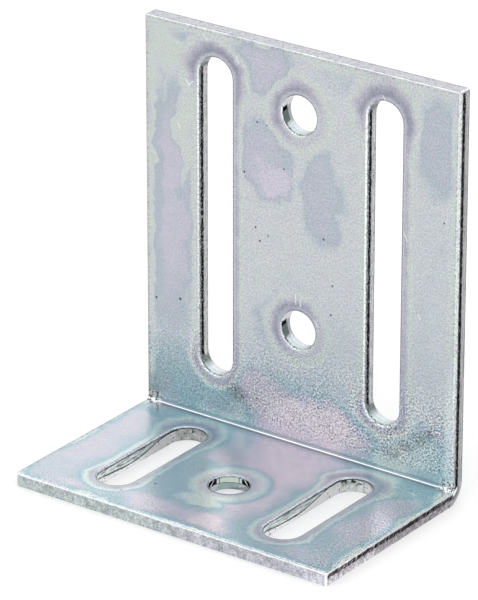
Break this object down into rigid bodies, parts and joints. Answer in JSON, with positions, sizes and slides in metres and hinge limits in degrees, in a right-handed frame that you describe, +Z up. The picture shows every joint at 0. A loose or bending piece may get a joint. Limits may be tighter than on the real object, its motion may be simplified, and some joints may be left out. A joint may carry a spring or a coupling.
{
  "type": "adjustable angle bracket",
  "caption": "Folded steel angle bracket with an upright leg and a base leg, both with round holes and long slots for adjustable bolting.",
  "frame": {"origin": "middle of the bracket's footprint, on the underside of the base leg", "axes": "+Z up along the upright leg, +Y out of the upright leg's back face, -Y towards the base leg's front edge, +X along the fold"},
  "size_m": [0.0656, 0.04, 0.075],
  "materials": {
    "zinc_plated_steel": "zinc plated and clear passivated, semi-gloss with faint rainbow tints"
  },
  "bodies": {
    "root": {"angle_bracket": "zinc_plated_steel"}
  },
  "joints": []
}
